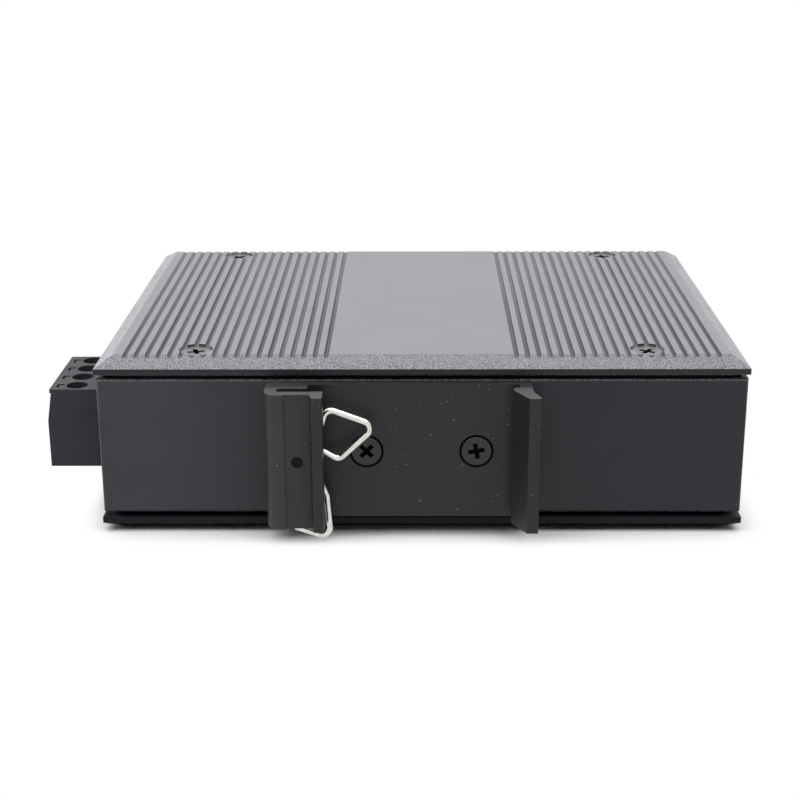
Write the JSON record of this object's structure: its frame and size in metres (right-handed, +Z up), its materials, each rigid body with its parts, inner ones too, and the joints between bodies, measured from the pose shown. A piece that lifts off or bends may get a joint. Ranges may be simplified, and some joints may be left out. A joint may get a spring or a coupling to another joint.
{
  "type": "din rail ethernet switch",
  "caption": "Slim metal-cased ethernet switch with ribbed side panels, a rail clip with a swivelling wire spring, and a pluggable screw terminal.",
  "frame": {"origin": "middle of the bottom side panel's flat underside", "axes": "+X along the case towards the fixed jaw of the rail clip, -Y out of the rear wall with the rail clip, +Z up through the two ribbed side panels"},
  "size_m": [0.125, 0.0939, 0.0324],
  "materials": {
    "panel_metal": "bead blasted, dark anodised",
    "chassis_coat": "fine black powder coat",
    "black_screw": "black oxide",
    "bright_steel": "zinc plated",
    "clip_metal": "black anodised",
    "pin_steel": "dark steel",
    "spring_steel": "bright spring wire",
    "plug_plastic": "moulded, satin",
    "header_plastic": "moulded, satin",
    "contact_brass": "tin plated brass",
    "clamp_steel": "nickel plated",
    "board_laminate": "green solder mask",
    "shield_metal": "nickel plated sheet",
    "insert_plastic": "moulded",
    "contact_gold": "gold plated",
    "moulded_black": "moulded epoxy",
    "pad_rubber": "soft silicone",
    "ferrite": "ferrite",
    "can_metal": "drawn can",
    "lamp_plastic": "clear moulding",
    "pipe_clear": "clear moulded"
  },
  "bodies": {
    "switch_case": {"top_side_panel": "panel_metal", "bottom_side_panel": "panel_metal", "rear_chassis": "chassis_coat", "front_plate": "chassis_coat", "top_panel_screws": "black_screw", "bottom_panel_screws": "black_screw", "din_clip_screws": "black_screw", "panel_nuts": "bright_steel", "clip_nuts": "bright_steel", "board_standoffs": "bright_steel", "board_screws": "bright_steel", "header_pins": "bright_steel", "din_clip": "clip_metal", "spring_pin": "pin_steel", "terminal_header": "header_plastic", "main_board": "board_laminate", "jack_shell_1": "shield_metal", "jack_shell_2": "shield_metal", "jack_shell_3": "shield_metal", "jack_shell_4": "shield_metal", "jack_shell_5": "shield_metal", "jack_insert_1": "insert_plastic", "jack_insert_2": "insert_plastic", "jack_insert_3": "insert_plastic", "jack_insert_4": "insert_plastic", "jack_insert_5": "insert_plastic", "jack_contacts": "contact_gold", "magnetics_1": "moulded_black", "magnetics_2": "moulded_black", "magnetics_3": "moulded_black", "magnetics_4": "moulded_black", "magnetics_5": "moulded_black", "switch_chip": "moulded_black", "thermal_pad": "pad_rubber", "power_inductor": "ferrite", "capacitor_1": "can_metal", "capacitor_2": "can_metal", "indicator_leds": "lamp_plastic", "light_pipes": "pipe_clear"},
    "wire_spring": {"wire_spring": "spring_steel"},
    "power_plug": {"terminal_plug": "plug_plastic", "plug_contacts": "contact_brass"},
    "clamp_screw_1": {"clamp_screw_1": "clamp_steel"},
    "clamp_cage_1": {"clamp_cage_1": "clamp_steel"},
    "clamp_screw_2": {"clamp_screw_2": "clamp_steel"},
    "clamp_cage_2": {"clamp_cage_2": "clamp_steel"},
    "clamp_screw_3": {"clamp_screw_3": "clamp_steel"},
    "clamp_cage_3": {"clamp_cage_3": "clamp_steel"},
    "clamp_screw_4": {"clamp_screw_4": "clamp_steel"},
    "clamp_cage_4": {"clamp_cage_4": "clamp_steel"}
  },
  "joints": [
    {"name": "wire_spring_swivel", "type": "hinge", "parent": "switch_case", "child": "wire_spring", "pos_m": [-0.02133, -0.04698, 0.0162], "axis": [0, 1, 0], "range_deg": [-48, 0]},
    {"name": "power_plug_pull", "type": "slide", "parent": "switch_case", "child": "power_plug", "axis": [-1, 0, 0], "range_m": [0, 0.0078]},
    {"name": "clamp_screw_1_turn", "type": "hinge", "parent": "power_plug", "child": "clamp_screw_1", "pos_m": [-0.06275, -0.02936, 0.0198], "axis": [0, 0, -1], "range_deg": [0, 1801]},
    {"name": "clamp_cage_1_lift", "type": "slide", "parent": "power_plug", "child": "clamp_cage_1", "axis": [0, 0, 1], "range_m": [0, 0.0025]},
    {"name": "clamp_screw_2_turn", "type": "hinge", "parent": "power_plug", "child": "clamp_screw_2", "pos_m": [-0.06275, -0.02428, 0.0198], "axis": [0, 0, -1], "range_deg": [0, 1801]},
    {"name": "clamp_cage_2_lift", "type": "slide", "parent": "power_plug", "child": "clamp_cage_2", "axis": [0, 0, 1], "range_m": [0, 0.0025]},
    {"name": "clamp_screw_3_turn", "type": "hinge", "parent": "power_plug", "child": "clamp_screw_3", "pos_m": [-0.06275, -0.0192, 0.0198], "axis": [0, 0, -1], "range_deg": [0, 1801]},
    {"name": "clamp_cage_3_lift", "type": "slide", "parent": "power_plug", "child": "clamp_cage_3", "axis": [0, 0, 1], "range_m": [0, 0.0025]},
    {"name": "clamp_screw_4_turn", "type": "hinge", "parent": "power_plug", "child": "clamp_screw_4", "pos_m": [-0.06275, -0.01412, 0.0198], "axis": [0, 0, -1], "range_deg": [0, 1801]},
    {"name": "clamp_cage_4_lift", "type": "slide", "parent": "power_plug", "child": "clamp_cage_4", "axis": [0, 0, 1], "range_m": [0, 0.0025]}
  ],
  "couplings": [
    {"joint": "clamp_screw_1_turn", "follows": "clamp_cage_1_lift", "rad_per_m": 12566},
    {"joint": "clamp_screw_2_turn", "follows": "clamp_cage_2_lift", "rad_per_m": 12566},
    {"joint": "clamp_screw_3_turn", "follows": "clamp_cage_3_lift", "rad_per_m": 12566},
    {"joint": "clamp_screw_4_turn", "follows": "clamp_cage_4_lift", "rad_per_m": 12566}
  ]
}
